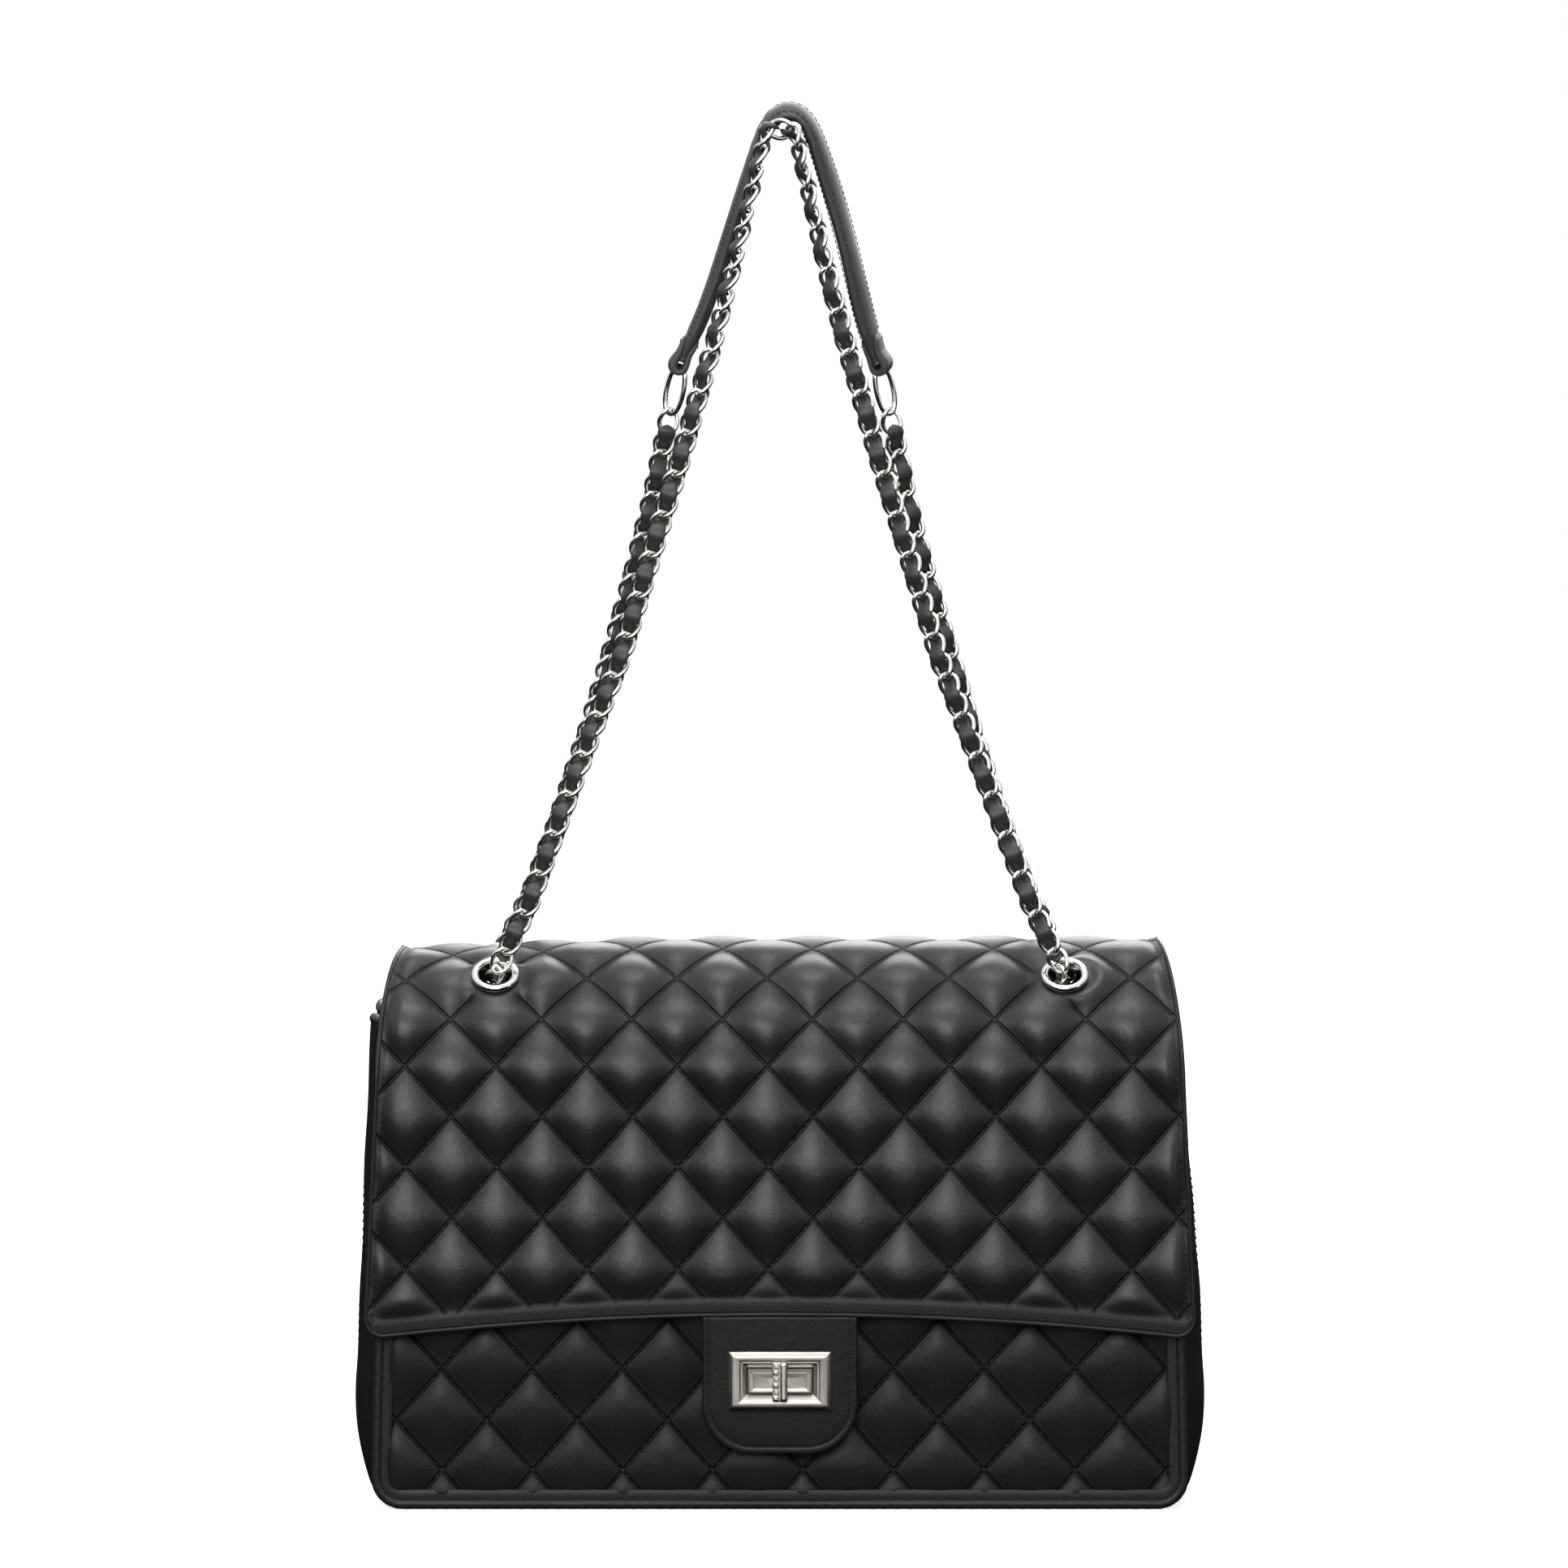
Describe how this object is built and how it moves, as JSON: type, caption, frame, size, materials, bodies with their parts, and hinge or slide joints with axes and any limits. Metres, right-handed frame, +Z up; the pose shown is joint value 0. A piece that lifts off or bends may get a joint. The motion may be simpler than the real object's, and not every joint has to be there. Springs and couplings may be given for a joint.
{
  "type": "chain shoulder bag",
  "caption": "Quilted leather shoulder bag with a front flap, a turn lock and a leather-laced chain strap in two arches with a shoulder pad.",
  "frame": {"origin": "middle of the base, on the surface the bag stands on", "axes": "+X to the right seen from the front, +Y to the back, +Z up; the flap's face looks along -Y"},
  "size_m": [0.377, 0.1209, 0.6176],
  "materials": {
    "leather": "soft black calf with a fine grain and a low sheen",
    "lining": "black woven lining",
    "board": "fibre board",
    "foam": "felt filling",
    "chain_metal": "polished silver plating",
    "lock_metal": "nickel plating, lightly brushed"
  },
  "bodies": {
    "bag": {"front_panel": "leather", "back_panel": "leather", "left_gusset": "leather", "right_gusset": "leather", "base_panel": "leather", "base_board": "board", "front_board": "board", "back_board": "board", "lining": "lining", "slip_pocket": "lining", "mouth_binding": "leather", "front_piping": "leather", "back_piping": "leather", "lock_boss": "lock_metal", "lock_washer": "lock_metal"},
    "flap": {"flap_cover": "leather", "flap_lining": "leather", "flap_binding": "leather", "lock_tab": "leather", "lock_frame": "lock_metal", "lock_frame_back": "lock_metal", "front_eyelets": "chain_metal", "rear_eyelets": "chain_metal", "eyelet_washers": "chain_metal", "under_flap_chains": "chain_metal", "under_flap_laces": "leather"},
    "turn_bar": {"turn_bar": "lock_metal", "spindle_clip": "lock_metal"},
    "front_strand": {"front_chain_left": "chain_metal", "front_chain_right": "chain_metal", "front_lace": "leather"},
    "rear_strand": {"rear_chain_left": "chain_metal", "rear_chain_right": "chain_metal", "rear_laces": "leather", "pad_rings": "chain_metal", "pad_end_loops": "leather", "shoulder_pad_cover": "leather", "shoulder_pad_core": "foam"}
  },
  "joints": [
    {"name": "flap_hinge", "type": "hinge", "parent": "bag", "child": "flap", "pos_m": [0, 0.0583, 0.188], "axis": [-1, 0, 0], "range_deg": [0, 120]},
    {"name": "front_strand_hinge", "type": "hinge", "parent": "flap", "child": "front_strand", "pos_m": [0, -0.03959, 0.23867], "axis": [1, 0, 0], "range_deg": [0, 80]},
    {"name": "rear_strand_hinge", "type": "hinge", "parent": "flap", "child": "rear_strand", "pos_m": [0, 0.03959, 0.23867], "axis": [-1, 0, 0], "range_deg": [0, 60]},
    {"name": "turn_lock", "type": "hinge", "parent": "bag", "child": "turn_bar", "pos_m": [0, -0.06, 0.0585], "axis": [0, -1, 0], "range_deg": [0, 90]}
  ]
}
